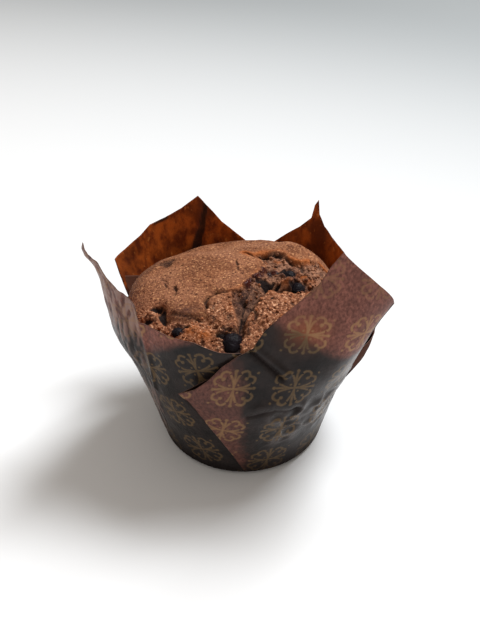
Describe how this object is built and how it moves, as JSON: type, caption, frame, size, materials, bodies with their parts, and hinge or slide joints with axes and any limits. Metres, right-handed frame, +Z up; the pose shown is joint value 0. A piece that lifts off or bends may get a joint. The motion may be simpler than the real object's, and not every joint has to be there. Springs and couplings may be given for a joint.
{
  "type": "blueberry muffin",
  "caption": "Domed muffin with a torn, cracked crown and blueberries, standing in a square sheet of printed baking paper folded into a cup with tall pointed corners.",
  "frame": {"origin": "centre of the round foot of the case, on the surface it stands on", "axes": "+Z up out of the cup, -Y towards the front, where the front right petal folds over the left one, +X to the right of the front"},
  "size_m": [0.0803, 0.0685, 0.075],
  "materials": {
    "case": "dark brown greaseproof baking paper with a tan print outside, orange-brown and unprinted inside",
    "muffin": "matt brown cake crust, sandy grain, torn crumb",
    "blueberry": "near black baked berry skin, slightly glossy"
  },
  "bodies": {
    "root": {"case": "case", "muffin": "muffin", "blueberry_front": "blueberry", "blueberry_left": "blueberry", "blueberry_tear": "blueberry", "blueberry_burst": "blueberry"}
  },
  "joints": []
}
